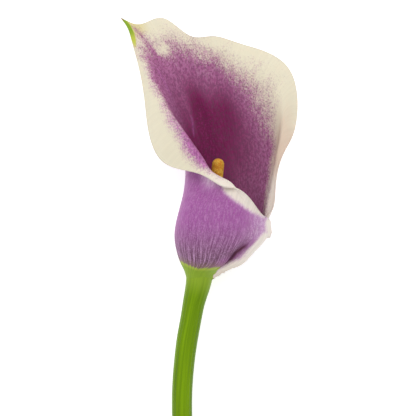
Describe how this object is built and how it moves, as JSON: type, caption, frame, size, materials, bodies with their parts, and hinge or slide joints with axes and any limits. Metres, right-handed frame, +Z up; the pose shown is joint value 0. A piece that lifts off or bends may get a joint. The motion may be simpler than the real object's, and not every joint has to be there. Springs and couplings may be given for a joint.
{
  "type": "calla lily flower",
  "caption": "Calla lily flower lying on its back: a bract wrapped into a tube with a rolled lip and a drawn-out tip, a finger of florets in its throat, on a long cut stem.",
  "frame": {"origin": "on the small flat spot under the belly of the flower that it rests on", "axes": "+Y from the cut end of the stem to the tip of the flower, +Z up out of the flower's mouth"},
  "size_m": [0.0855, 0.3027, 0.036],
  "materials": {
    "bract": "satin, smooth fleshy bract, cream rim, plum inside, mauve outside",
    "stem": "satin, finely ribbed green stem",
    "ovary_florets": "satin, pale green bumps",
    "pollen_florets": "matt, golden pollen grains"
  },
  "bodies": {
    "root": {"spathe": "bract", "stem": "stem", "spadix_ovary_zone": "ovary_florets", "spadix_pollen_zone": "pollen_florets"}
  },
  "joints": []
}
